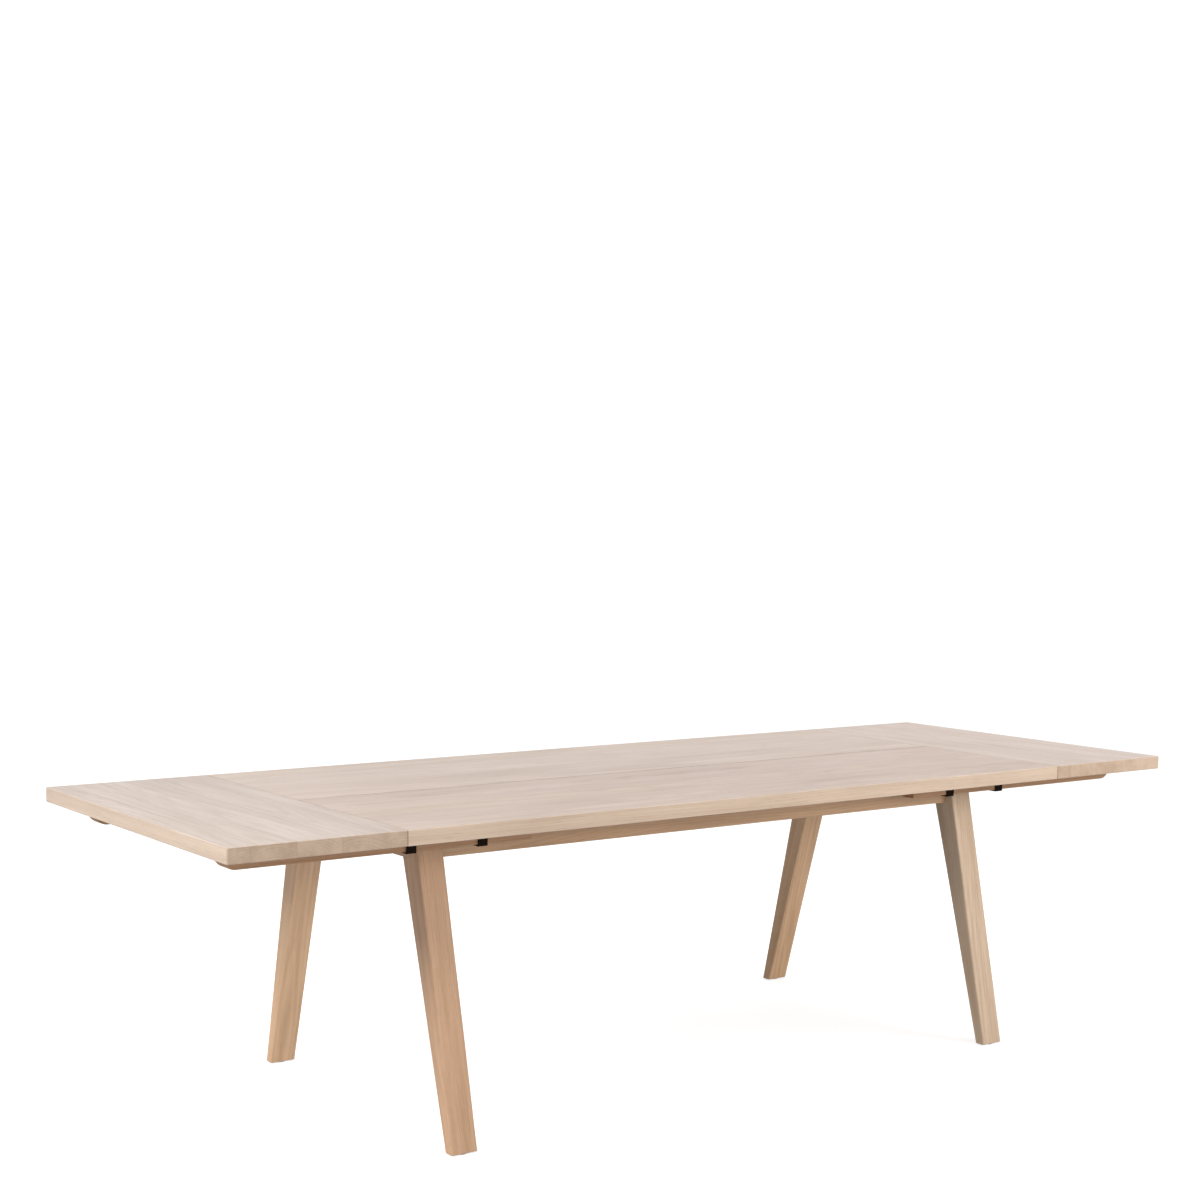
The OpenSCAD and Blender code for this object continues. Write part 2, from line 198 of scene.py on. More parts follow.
class Board:
    """A small helper to lay out one node tree."""

    def __init__(self, tree):
        self.tree = tree

    def add(self, kind, *inputs, **settings):
        """Adds a node, sets its inputs in order, and gives it back."""
        made = self.tree.nodes.new(kind)
        for key, value in settings.items():
            setattr(made, key, value)
        for slot, value in enumerate(inputs):
            if value is not None:
                self.join(value, made.inputs[slot])
        return made

    def join(self, value, socket):
        """Links a socket or sets a plain value."""
        if isinstance(value, bpy.types.NodeSocket):
            self.tree.links.new(value, socket)
        else:
            socket.default_value = value

    def calc(self, operation, a, b=0.0):
        return self.add("ShaderNodeMath", a, b, operation=operation).outputs[0]

    def vec(self, operation, a, b=(0, 0, 0)):
        return self.add("ShaderNodeVectorMath", a, b, operation=operation).outputs[0]

    def xyz(self, x, y, z):
        return self.add("ShaderNodeCombineXYZ", x, y, z).outputs[0]

    def split(self, vector):
        return self.add("ShaderNodeSeparateXYZ", vector).outputs

    def grit(self, vector, scale, detail=2.0, rough=0.5):
        """Noise from 0 to 1 around 0.5."""
        made = self.add("ShaderNodeTexNoise")
        self.join(vector, made.inputs["Vector"])
        for key, value in (("Scale", scale), ("Detail", detail), ("Roughness", rough)):
            self.join(value, made.inputs[key])
        return made.outputs[0]

    def step(self, value, start, end):
        """Smooth step of value from 0 at start to 1 at end."""
        made = self.add("ShaderNodeMapRange", value, start, end, 0.0, 1.0)
        made.interpolation_type = "SMOOTHSTEP"
        return made.outputs[0]

    def blend(self, share, a, b, how="MIX"):
        made = self.add("ShaderNodeMix", data_type="RGBA", blend_type=how)
        for socket, value in ((0, share), (6, a), (7, b)):
            self.join(value, made.inputs[socket])
        return made.outputs[2]


def new_group(name, inputs, outputs):
    """An empty shader node group with named sockets; gives the board, the inputs and the output node."""
    tree = bpy.data.node_groups.new(name, "ShaderNodeTree")
    for label, kind, default in inputs:
        socket = tree.interface.new_socket(name=label, in_out="INPUT", socket_type=kind)
        if default is not None:
            socket.default_value = default
    for label, kind in outputs:
        tree.interface.new_socket(name=label, in_out="OUTPUT", socket_type=kind)
    board = Board(tree)
    return board, board.add("NodeGroupInput").outputs, board.add("NodeGroupOutput")


FLOAT, COLOR, VECTOR = "NodeSocketFloat", "NodeSocketColor", "NodeSocketVector"


def off_centre(b, noise, amount):
    """Noise around 0.5 turned into a push of up to half the amount either way."""
    return b.calc("MULTIPLY", b.calc("SUBTRACT", noise, 0.5), amount)


def lay_staves(b, given, y):
    """Cuts the board into staves: where it is across its stave, and the luck of that stave."""
    stave = b.calc("ADD", b.calc("DIVIDE", y, given["Stave width"]), 0.5)
    number = b.calc("FLOOR", stave)
    dice = b.add("ShaderNodeTexWhiteNoise", noise_dimensions="2D")
    b.join(b.xyz(number, given["Seed"], 0.0), dice.inputs["Vector"])
    return b.calc("SUBTRACT", stave, number), dice.outputs["Value"], b.split(dice.outputs["Color"])


def cut_rings(b, given, across, z, along, own, luck):
    """How much early wood shows: rings round a heart that wanders below each stave."""
    wander = b.grit(b.vec("MULTIPLY", own, (0.55, 5.0, 5.0)), 1.6, 2.0, 0.45)
    sway = b.grit(b.xyz(along, luck[1], given["Seed"]), 0.7, 1.0)
    middle = b.calc("MULTIPLY", b.calc("SUBTRACT", across, 0.5), given["Stave width"])
    middle = b.calc("ADD", middle, off_centre(b, luck[0], 0.14))
    middle = b.calc("ADD", middle, off_centre(b, wander, 0.05))
    heart = b.calc("ADD", b.calc("ADD", z, 0.050), b.calc("MULTIPLY", luck[2], 0.08))
    heart = b.calc("ADD", heart, off_centre(b, sway, 0.10))
    radius = b.calc("SQRT", b.calc("ADD", b.calc("MULTIPLY", middle, middle),
                                   b.calc("MULTIPLY", heart, heart)))
    crowd = b.grit(b.xyz(b.calc("MULTIPLY", radius, 55.0), luck[1], given["Seed"]), 1.0, 1.0)
    ring = b.calc("FRACT", b.calc("ADD", b.calc("DIVIDE", radius, given["Ring gap"]),
                                  b.calc("MULTIPLY", crowd, 2.5)))
    return b.calc("MULTIPLY", b.step(ring, 0.0, 0.12), b.step(ring, 0.75, 0.18))


def cut_pores(b, own, early):
    """Long fine pores, most of them in the early wood."""
    pore = b.step(b.grit(b.vec("MULTIPLY", own, (0.035, 1.0, 1.0)), 900.0, 1.0), 0.60, 0.70)
    return b.calc("MULTIPLY", pore, b.calc("ADD", b.calc("MULTIPLY", early, 0.75), 0.25))


def tell_faces(b, given):
    """Masks of the ends of the grain and of the board's long sides."""
    facing = b.add("ShaderNodeTexCoord").outputs["Normal"]
    turned = b.add("ShaderNodeVectorMath", facing, given["Grain direction"],
                   operation="DOT_PRODUCT").outputs["Value"]
    end = b.step(b.calc("ABSOLUTE", turned), 0.55, 0.85)
    flat = b.step(b.calc("ABSOLUTE", b.split(facing)[2]), 0.45, 0.85)
    return end, b.calc("MULTIPLY", b.calc("SUBTRACT", 1.0, flat), b.calc("SUBTRACT", 1.0, end))


def mix_depth(b, given, own, early, fibre, end, tone):
    """How deep the tone is, from 0 to 1: rings, streaks, clouds, fibre and the stave's own tone."""
    streak = b.grit(b.vec("MULTIPLY", own, (0.03, 1.0, 1.0)), 75.0, 2.0, 0.55)
    cloud = b.grit(b.vec("MULTIPLY", own, (0.30, 1.0, 1.0)), 9.0, 2.0, 0.5)
    strength = b.calc("MULTIPLY", given["Figure"], b.calc("ADD", 1.0, b.calc("MULTIPLY", end, 0.9)))
    depth = b.calc("ADD", b.calc("MULTIPLY", b.calc("SUBTRACT", early, 0.35), strength), 0.42)
    for noise, amount in ((streak, 1.3), (cloud, 1.1), (fibre, 0.8)):
        depth = b.calc("ADD", depth, off_centre(b, noise, amount))
    patch = off_centre(b, b.grit(own, 14.0, 2.0), 2.2)
    depth = b.calc("ADD", depth, b.calc("MULTIPLY", patch, end))
    depth = b.calc("ADD", depth, off_centre(b, tone, given["Stave contrast"]))
    return b.add("ShaderNodeClamp", depth).outputs[0]


def warm_up(b, given, color, luck):
    """Makes each stave a little warmer or cooler than its neighbours."""
    warm = off_centre(b, luck[1], given["Stave contrast"])
    hue = b.add("ShaderNodeHueSaturation")
    b.join(b.calc("ADD", 0.5, b.calc("MULTIPLY", warm, 0.018)), hue.inputs["Hue"])
    b.join(b.calc("ADD", 1.0, b.calc("MULTIPLY", warm, 0.22)), hue.inputs["Saturation"])
    b.join(color, hue.inputs["Color"])
    return hue.outputs[0]


def oak_grain_group():
    """Solid oak: year rings cut through by the board, fibre, pores, staves and end grain.

    The vector comes in with X along the grain, Y across the board and Z through it, measured
    from the middle of the piece. The rings are real rings round a heart that lies under each
    stave, so faces, edges and ends agree with each other.
    """
    b, given, out = new_group(
        "oak_grain",
        [("Vector", VECTOR, None), ("Grain direction", VECTOR, (1, 0, 0)),
         ("Stave width", FLOAT, 0.1), ("Stave contrast", FLOAT, 1.0),
         ("Seed", FLOAT, 0.0), ("Ring gap", FLOAT, 0.006), ("Figure", FLOAT, 0.5),
         ("Pale", COLOR, (0.6, 0.5, 0.4, 1)), ("Deep", COLOR, (0.4, 0.3, 0.2, 1)),
         ("End tint", COLOR, (0.7, 0.6, 0.5, 1)), ("Side painted shading", COLOR, (1, 1, 1, 1))],
        [("Color", COLOR), ("Roughness", FLOAT), ("Height", FLOAT)])
    x, y, z = b.split(given["Vector"])[:3]
    across, tone, luck = lay_staves(b, given, y)
    along = b.calc("ADD", x, b.calc("MULTIPLY", luck[0], 9.0))
    own = b.xyz(along, b.calc("ADD", y, luck[1]), b.calc("ADD", z, luck[2]))
    early = cut_rings(b, given, across, z, along, own, luck)
    fibre = b.grit(b.vec("MULTIPLY", own, (0.02, 1.0, 1.0)), 420.0, 3.0, 0.6)
    pore = cut_pores(b, own, early)
    end, side = tell_faces(b, given)

    depth = mix_depth(b, given, own, early, fibre, end, tone)
    color = warm_up(b, given, b.blend(depth, given["Pale"], given["Deep"]), luck)
    color = b.blend(b.calc("MULTIPLY", pore, 0.45), color,
                    b.blend(0.6, color, given["Deep"], "MULTIPLY"))
    # the ends of the grain get their own darker end tone; the long sides get painted light and shade,
    # lighter or darker than the faces of the same wood
    for face, tint in ((end, "End tint"), (side, "Side painted shading")):
        color = b.blend(face, color, b.blend(1.0, color, given[tint], "MULTIPLY"))

    edge = b.calc("MINIMUM", across, b.calc("SUBTRACT", 1.0, across))
    seam = b.step(b.calc("MULTIPLY", edge, given["Stave width"]), 0.7 * MM, 0.1 * MM)
    color = b.blend(b.calc("MULTIPLY", seam, 0.30), color,
                    b.blend(1.0, color, given["Deep"], "MULTIPLY"))

    dull = b.calc("ADD", 0.46, b.calc("MULTIPLY", fibre, 0.10))
    dull = b.calc("ADD", dull, b.calc("MULTIPLY", end, 0.12))
    height = b.calc("SUBTRACT", b.calc("MULTIPLY", fibre, 0.35), b.calc("MULTIPLY", pore, 0.8))
    height = b.calc("SUBTRACT", height, b.calc("MULTIPLY", seam, 0.9))
    for label, value in (("Color", color), ("Roughness", dull), ("Height", height)):
        b.join(value, out.inputs[label])
    return b.tree


def joint_lines_group():
    """Darkens the wood at the glued middle joint, unevenly and with pin knots, and paints shade into the
    gap at a leaf seam.
    """
    b, given, out = new_group(
        "joint_lines",
        [("Vector", VECTOR, None), ("Color", COLOR, (0.5, 0.4, 0.3, 1)),
         ("Line", COLOR, (0.2, 0.15, 0.1, 1)), ("Width", FLOAT, 4 * MM), ("Middle", FLOAT, 0.75),
         ("Seam", FLOAT, 0.5), ("Seam at", FLOAT, 1.0)],
        [("Color", COLOR)])
    x, y = b.split(given["Vector"])[:2]
    long = b.xyz(x, b.calc("MULTIPLY", y, 4.0), 0.0)
    uneven = off_centre(b, b.grit(long, 9.0, 3.0, 0.6), 12 * MM)
    away = b.calc("ABSOLUTE", b.calc("ADD", y, b.calc("MULTIPLY", uneven, 0.25)))
    reach = b.calc("MAXIMUM", b.calc("ADD", given["Width"], uneven), 1.2 * MM)
    line = b.calc("MULTIPLY", b.step(b.calc("DIVIDE", away, reach), 1.0, 0.3), given["Middle"])

    knot = b.step(b.grit(long, 26.0, 1.0), 0.66, 0.74)
    knot = b.calc("MULTIPLY", knot, b.step(b.calc("ABSOLUTE", y), 10 * MM, 4 * MM))
    knot = b.calc("MULTIPLY", knot, b.step(given["Middle"], 0, 0.1))

    # painted shade: the wood beside the gap where a leaf meets the main top is darkened
    off_seam = b.calc("ABSOLUTE", b.calc("SUBTRACT", b.calc("ABSOLUTE", x), given["Seam at"]))
    seam = b.calc("MULTIPLY", b.step(off_seam, 2.4 * MM, 0.8 * MM), given["Seam"])
    share = b.calc("MAXIMUM", b.calc("MAXIMUM", line, knot), seam)
    b.join(b.blend(share, given["Color"], given["Line"]), out.inputs["Color"])
    return b.tree


def fine_grit_group():
    """Fine surface unevenness for plastic and metal: a mask and a height."""
    b, given, out = new_group(
        "fine_grit",
        [("Vector", VECTOR, None), ("Size", FLOAT, 900.0), ("Patches", FLOAT, 60.0)],
        [("Mask", FLOAT), ("Height", FLOAT)])
    fine = b.grit(given["Vector"], given["Size"], 2.0, 0.6)
    wide = b.grit(given["Vector"], given["Patches"], 3.0, 0.55)
    b.join(wide, out.inputs["Mask"])
    b.join(b.calc("ADD", fine, b.calc("MULTIPLY", wide, 0.4)), out.inputs["Height"])
    return b.tree


OAK_GRAIN = oak_grain_group()
JOINT_LINES = joint_lines_group()
FINE_GRIT = fine_grit_group()


def new_finish(name):
    """An empty material: its board, its shader and its object coordinates."""
    made = bpy.data.materials.new(name)
    made.use_nodes = True
    tree = made.node_tree
    tree.nodes.clear()
    b = Board(tree)
    shader = b.add("ShaderNodeBsdfPrincipled")
    output = b.add("ShaderNodeOutputMaterial")
    tree.links.new(shader.outputs[0], output.inputs[0])
    place = b.add("ShaderNodeTexCoord").outputs["Object"]
    return made, b, shader, place


# the side tint is painted light and shade on a board's long sides, lighter or darker than its faces
def oak(name, tones, middle=(0, 0, 0), turn=(0, 0, 0), grain=(1, 0, 0), stave=10.0,
        contrast=0.0, seed=0.0, ring_gap=0.005, figure=0.22, side_painted_shading=(1, 1, 1), joints=None):
    """Oiled oak. middle and turn bring the piece's own grain onto X; tones are pale, deep, end.

    joints says how dark the glued middle joint and the painted shade at the leaf seam are, from 0 to 1.
    """
    made, b, shader, place = new_finish(name)
    turned = b.add("ShaderNodeMapping", place, vector_type="TEXTURE")
    turned.inputs["Location"].default_value = middle
    turned.inputs["Rotation"].default_value = [math.radians(a) for a in turn]
    wood = b.add("ShaderNodeGroup")
    wood.node_tree = OAK_GRAIN
    pale, deep, end_tint = tones
    values = {"Vector": turned.outputs[0], "Grain direction": grain, "Stave width": stave,
              "Stave contrast": contrast, "Seed": seed,
              "Ring gap": ring_gap, "Figure": figure, "Pale": (*pale, 1), "Deep": (*deep, 1),
              "End tint": (*end_tint, 1), "Side painted shading": (*side_painted_shading, 1)}
    for label, value in values.items():
        b.join(value, wood.inputs[label])
    color = wood.outputs["Color"]
    if joints:
        line = b.add("ShaderNodeGroup")
        line.node_tree = JOINT_LINES
        for label, value in (("Vector", place), ("Color", color), ("Line", (*GLUE_AND_SEAM_SHADE_TONE, 1)),
                             ("Middle", joints[0]), ("Seam", joints[1]), ("Seam at", SEAM_X)):
            b.join(value, line.inputs[label])
        color = line.outputs["Color"]
    dent = b.add("ShaderNodeBump")
    dent.inputs["Strength"].default_value = 0.6
    dent.inputs["Distance"].default_value = 0.25 * MM
    b.join(wood.outputs["Height"], dent.inputs["Height"])
    b.join(color, shader.inputs["Base Color"])
    b.join(wood.outputs["Roughness"], shader.inputs["Roughness"])
    b.join(dent.outputs[0], shader.inputs["Normal"])
    shader.inputs["Specular IOR Level"].default_value = 0.42
    return made


def plastic(name, dark, light, roughness, gloss):
    """Moulded plastic with a fine texture and slightly uneven gloss."""
    made, b, shader, place = new_finish(name)
    grit = b.add("ShaderNodeGroup")
    grit.node_tree = FINE_GRIT
    b.join(place, grit.inputs["Vector"])
    color = b.blend(grit.outputs["Mask"], (*dark, 1), (*light, 1))
    b.join(color, shader.inputs["Base Color"])
    b.join(b.calc("ADD", roughness, b.calc("MULTIPLY", grit.outputs["Mask"], 0.15)),
           shader.inputs["Roughness"])
    dent = b.add("ShaderNodeBump")
    dent.inputs["Strength"].default_value = 0.5
    dent.inputs["Distance"].default_value = 0.05 * MM
    b.join(grit.outputs["Height"], dent.inputs["Height"])
    b.join(dent.outputs[0], shader.inputs["Normal"])
    shader.inputs["Specular IOR Level"].default_value = gloss
    return made


def metal(name, dark, light, roughness):
    """Plated metal with faint clouding and fine scratches."""
    made, b, shader, place = new_finish(name)
    shader.inputs["Metallic"].default_value = 1.0
    grit = b.add("ShaderNodeGroup")
    grit.node_tree = FINE_GRIT
    stretched = b.vec("MULTIPLY", place, (0.25, 1.0, 1.0))
    for label, value in (("Vector", stretched), ("Size", 1600.0), ("Patches", 90.0)):
        b.join(value, grit.inputs[label])
    color = b.blend(grit.outputs["Mask"], (*dark, 1), (*light, 1))
    b.join(color, shader.inputs["Base Color"])
    b.join(b.calc("ADD", roughness, b.calc("MULTIPLY", grit.outputs["Mask"], 0.25)),
           shader.inputs["Roughness"])
    dent = b.add("ShaderNodeBump")
    dent.inputs["Strength"].default_value = 0.3
    dent.inputs["Distance"].default_value = 0.05 * MM
    b.join(grit.outputs["Height"], dent.inputs["Height"])
    b.join(dent.outputs[0], shader.inputs["Normal"])
    return made


# ---------------------------------------------------------------- finishes

END_TINT = (0.90, 0.79, 0.66)
# painted light: the main top's long edges are painted lighter and the leaves' long-grain edges painted
# darker than the faces of the same wood
TOP_SIDE_PAINTED_LIGHT = (1.31, 1.26, 1.12)
LEAF_SIDE_PAINTED_SHADE = (0.94, 0.88, 0.79)
# dark line of the glued middle joint, also the colour of the painted shade at the leaf seams
GLUE_AND_SEAM_SHADE_TONE = (0.20, 0.150, 0.110)
SEAM_X = 1.00025                       # where the main top ends and a leaf begins
TOP_TONES = ((0.468, 0.392, 0.345), (0.372, 0.300, 0.256), END_TINT)
LEG_TONES = ((0.475, 0.327, 0.222), (0.331, 0.215, 0.135), END_TINT)
RAIL_TONES = ((0.455, 0.290, 0.174), (0.316, 0.192, 0.110), END_TINT)
RUNNER_TONES = ((0.372, 0.214, 0.118), (0.258, 0.140, 0.072), END_TINT)
BEECH_TONES = ((0.60, 0.43, 0.28), (0.50, 0.33, 0.19), END_TINT)
ALONG_Y = {"turn": (0, 0, 90), "grain": (0, 1, 0)}             # flat boards, grain across the table
ON_EDGE_X = {"turn": (90, 0, 0), "grain": (1, 0, 0)}           # boards on edge, grain along it
ON_EDGE_Y = {"turn": (90, 0, 90), "grain": (0, 1, 0)}          # boards on edge, grain across it


def toned(tones, factor):
    """The pale and deep tones of one piece, scaled off the common ones by a factor."""
    pale, deep, end = tones
    return tuple(tuple(a * f for a, f in zip(tone, factor)) for tone in (pale, deep)) + (end,)


def middle_of(node):
    """The middle of a CAD node's box."""
    low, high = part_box(node)
    return (low + high) / 2


# painted light and shade: each leg is painted lighter or darker than the common leg tone, to stand in
# for how the lamps fall on it
# each leg's own share of the common tones, set so that all four look right under these lamps
LEG_PAINTED_LIGHT = {"front_left": (0.98, 0.90, 0.84), "front_right": (1.02, 1.11, 1.18),
            "back_left": (1.30, 1.26, 1.18), "back_right": (1.22, 1.15, 1.04)}

# joints: darkness of the glued middle joint, then of the painted shade at the leaf seam; the side tints
# are painted light and shade on the edges
TOP_BOARD = {"stave": 100 * MM, "side_painted_shading": TOP_SIDE_PAINTED_LIGHT, "joints": (0.80, 0.32)}
LEAF_BOARD = {"stave": 104 * MM, "side_painted_shading": LEAF_SIDE_PAINTED_SHADE, "joints": (0.0, 0.32), **ALONG_Y}

finish = {
    "top_front": oak("oak_top_front", toned(TOP_TONES, (0.98, 0.96, 0.95)),
                     middle_of("top_panel_front"), contrast=0.45, seed=3.0, **TOP_BOARD),
    "top_back": oak("oak_top_back", toned(TOP_TONES, (1.04, 1.04, 1.04)),
                    middle_of("top_panel_back"), contrast=0.40, seed=8.0, **TOP_BOARD),
    "leaf_left": oak("oak_leaf_left", toned(TOP_TONES, (0.97, 0.99, 1.00)),
                     middle_of("leaf_left"), contrast=0.10, seed=15.0, **LEAF_BOARD),
    "leaf_right": oak("oak_leaf_right", toned(TOP_TONES, (1.04, 1.05, 1.06)),
                      middle_of("leaf_right"), contrast=0.20, seed=11.0, **LEAF_BOARD),
    "dowel": oak("beech_dowel", BEECH_TONES, seed=41.0, ring_gap=0.002, figure=0.10, **ALONG_Y),
    "guide": plastic("black_plastic", (0.006, 0.003, 0.0015), (0.012, 0.007, 0.004), 0.60, 0.05),
    "glide": plastic("grey_plastic", (0.42, 0.41, 0.39), (0.52, 0.51, 0.48), 0.55, 0.35),
    "zinc": metal("zinc_plate", (0.50, 0.51, 0.52), (0.68, 0.69, 0.70), 0.26),
    "brass": metal("brass", (0.62, 0.46, 0.20), (0.78, 0.60, 0.30), 0.22),
}


def dress(piece, look, body, node):
    """Gives a piece its finish, its body and the CAD node it stands for."""
    piece.data.materials.clear()
    piece.data.materials.append(look)
    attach(piece, body)
    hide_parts(node)


def repaint(node, look):
    """Keeps a CAD node and gives it a finish."""
    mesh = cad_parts[node].data
    mesh.materials.clear()
    mesh.materials.append(look)


# ---------------------------------------------------------------- top and leaves

def pin_places():
    """Height and distances from the middle line of the pins in the leaves."""
    low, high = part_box("leaf_pins_right")
    radius = (high.z - low.z) / 2
    far = high.y - radius
    return (low.z + high.z) / 2, (-far, -PIN_NEAR, PIN_NEAR, far)


def make_top_half(side):
    """Half of the main top, with sharp edges kept at both its joints and holes for the sleeves."""
    node = f"top_panel_{side}"
    low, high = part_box(node)
    piece = block(f"top_board_{side}", low, high)
    joint_y, outer_y = (high.y, low.y) if side == "front" else (low.y, high.y)

    def at_joint(a, b):
        return lies_at(a, b, Y, joint_y) or abs(a.x - b.x) < SNUG

    round_over(piece, lambda a, b: upright(a, b) and lies_at(a, b, Y, outer_y), SEAM_CORNER, 3)
    round_over(piece, lambda a, b: not upright(a, b) and not at_joint(a, b), BOARD_ROUND)
    round_over(piece, lambda a, b: not upright(a, b) and at_joint(a, b), JOINT_ROUND, 3)
    height, ys = pin_places()
    for end in (-1, 1):
        for y in ys:
            if low.y < y < high.y:
                drill(piece, (end * high.x, y, height), (-end, 0, 0), SLEEVE_HOLE, SLEEVE_DEPTH)
    sand(piece)
    dress(piece, finish[f"top_{side}"], "table", node)


def make_leaf(end):
    """A leaf, fully rounded at its free end and almost sharp where it meets the main top."""
    node = f"leaf_{end}"
    low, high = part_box(node)
    piece = block(f"leaf_board_{end}", low, high)
    tip_x, seam_x = (low.x, high.x) if end == "left" else (high.x, low.x)
    round_over(piece, lambda a, b: upright(a, b) and lies_at(a, b, X, tip_x), BOARD_CORNER, 5)
    round_over(piece, lambda a, b: upright(a, b) and lies_at(a, b, X, seam_x), SEAM_CORNER, 3)
    round_over(piece, lambda a, b: not upright(a, b) and not lies_at(a, b, X, seam_x), BOARD_ROUND)
    round_over(piece, lambda a, b: not upright(a, b) and lies_at(a, b, X, seam_x), JOINT_ROUND, 3)
    sand(piece)
    dress(piece, finish[f"leaf_{end}"], f"leaf_body_{end}", node)


# ---------------------------------------------------------------- legs and glides

def leg_line(node):
    """Distances of a leg from the middle line: the middle of its head and of its foot."""
    low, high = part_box(node)
    near, far = sorted((abs(low.y), abs(high.y)))
    return near + LEG_HEAD_DEEP / 2, far - LEG_FOOT_DEEP / 2


def leg_lean(node):
    """Lean of a leg in degrees from upright, along its middle."""
    low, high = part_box(node)
    head, foot = leg_line(node)
    return math.degrees(math.atan2(foot - head, high.z - low.z))


def leg_inner_slope(node):
    """How far the inner face of a leg moves out for each metre down."""
    low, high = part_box(node)
    head, foot = leg_line(node)
    inner_head, inner_foot = head - LEG_HEAD_DEEP / 2, foot - LEG_FOOT_DEEP / 2
    return (inner_foot - inner_head) / (high.z - low.z)


def make_leg(side, end, seed):
    """A tapered leg, drawn down from its head, widest at the top and leaning outwards."""
    node = f"leg_{side}_{end}"
    low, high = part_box(node)
    out = -1 if side == "front" else 1
    head_y, foot_y = (out * place for place in leg_line(node))
    middle_x = (low.x + high.x) / 2
    let_go()
    bpy.ops.mesh.primitive_plane_add(size=1, location=(middle_x, head_y, high.z))
    piece = bpy.context.object
    piece.scale = (high.x - low.x, LEG_HEAD_DEEP, 1)
    piece.name = piece.data.name = f"tapered_leg_{side}_{end}"
    settle(piece)
    bpy.ops.object.mode_set(mode="EDIT")
    bpy.ops.mesh.select_mode(type="FACE")
    bpy.ops.mesh.select_all(action="SELECT")
    bpy.ops.mesh.extrude_region_move(
        TRANSFORM_OT_translate={"value": (0, foot_y - head_y, low.z - high.z)})
    bpy.ops.transform.resize(value=(1, LEG_FOOT_DEEP / LEG_HEAD_DEEP, 1),
                             center_override=(middle_x, foot_y, low.z))
    bpy.ops.mesh.select_all(action="SELECT")
    bpy.ops.mesh.normals_make_consistent(inside=False)
    let_go()
    round_over(piece, lambda a, b: not lies_at(a, b, Z, low.z) and not lies_at(a, b, Z, high.z),
               LEG_ROUND, 6)
    round_over(piece, lambda a, b: lies_at(a, b, Z, low.z), FOOT_ROUND, 3)
    sand(piece)
    lean = leg_lean(node) * out
    along = (0, math.sin(math.radians(lean)), -math.cos(math.radians(lean)))
    # painted light and shade: the leg's tones are scaled by its own lighter or darker factor
    tones = toned(LEG_TONES, LEG_PAINTED_LIGHT[f"{side}_{end}"])
    look = oak(f"oak_leg_{side}_{end}", tones, middle_of(node), turn=(0, 90 - lean, 90),
               grain=along, seed=seed)
    dress(piece, look, "table", node)


def make_glide(side, end):
    """A nailed-on floor glide: a low disc with a rounded rim, and its nail."""
    node = f"glide_{side}_{end}"
    low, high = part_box(node)
    middle = middle_of(node)
    radius = (high.x - low.x) / 2
    let_go()
    bpy.ops.mesh.primitive_circle_add(vertices=40, radius=radius, fill_type="NGON",
                                      location=(middle.x, middle.y, low.z))
    piece = bpy.context.object
    piece.name = piece.data.name = f"floor_glide_{side}_{end}"
    settle(piece)
    bpy.ops.object.mode_set(mode="EDIT")
    bpy.ops.mesh.select_all(action="SELECT")
    bpy.ops.mesh.extrude_region_move(TRANSFORM_OT_translate={"value": (0, 0, GLIDE_THICK)})
    bpy.ops.mesh.inset(thickness=radius - NAIL_RADIUS, depth=0)
    bpy.ops.mesh.extrude_region_move(
        TRANSFORM_OT_translate={"value": (0, 0, high.z - low.z - GLIDE_THICK)})
    bpy.ops.mesh.select_all(action="SELECT")
    bpy.ops.mesh.normals_make_consistent(inside=False)
    let_go()

    def on_rim(a, b):
        away = min((a.xy - middle.xy).length, (b.xy - middle.xy).length)
        return away > 0.95 * radius and abs(a.z - b.z) < SNUG

    round_over(piece, on_rim, GLIDE_ROUND, 3)
    sand(piece)
    dress(piece, finish["glide"], "table", node)


# ---------------------------------------------------------------- rails

def along_axis(axis):
    """Picks the edges that run along an axis."""
    return lambda a, b: abs(a[axis] - b[axis]) > 100 * MM


def finish_rail(piece, node, axis, way, seed):
    """Rounds a rail's long edges and gives it oak that runs its own way."""
    round_over(piece, along_axis(axis), RAIL_ROUND)
    sand(piece)
    look = oak(f"oak_{node}", RAIL_TONES, middle_of(node), seed=seed, **way)
    dress(piece, look, "table", node)


def make_side_rail(side, seed):
    node = f"side_rail_{side}"
    finish_rail(block(f"long_rail_{side}", *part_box(node)), node, X, ON_EDGE_X, seed)


def make_end_rail(end, seed):
    """A rail between two legs, with its ends cut to the slope of the legs."""
    node = f"end_rail_{end}"
    low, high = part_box(node)
    piece = block(f"short_rail_{end}", low, high)
    pick(piece, "FACE", lambda centre, normal: normal.z > 0.9)
    shorter = 1 - leg_inner_slope(f"leg_back_{end}") * (high.z - low.z) / high.y
    bpy.ops.transform.resize(value=(1, shorter, 1),
                             center_override=((low.x + high.x) / 2, 0, high.z))
    let_go()
    finish_rail(piece, node, Y, ON_EDGE_Y, seed)


def make_cross_rail(end, seed):
    node = f"cross_rail_{end}"
    finish_rail(block(f"middle_rail_{end}", *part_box(node)), node, Y, ON_EDGE_Y, seed)


# ---------------------------------------------------------------- runners

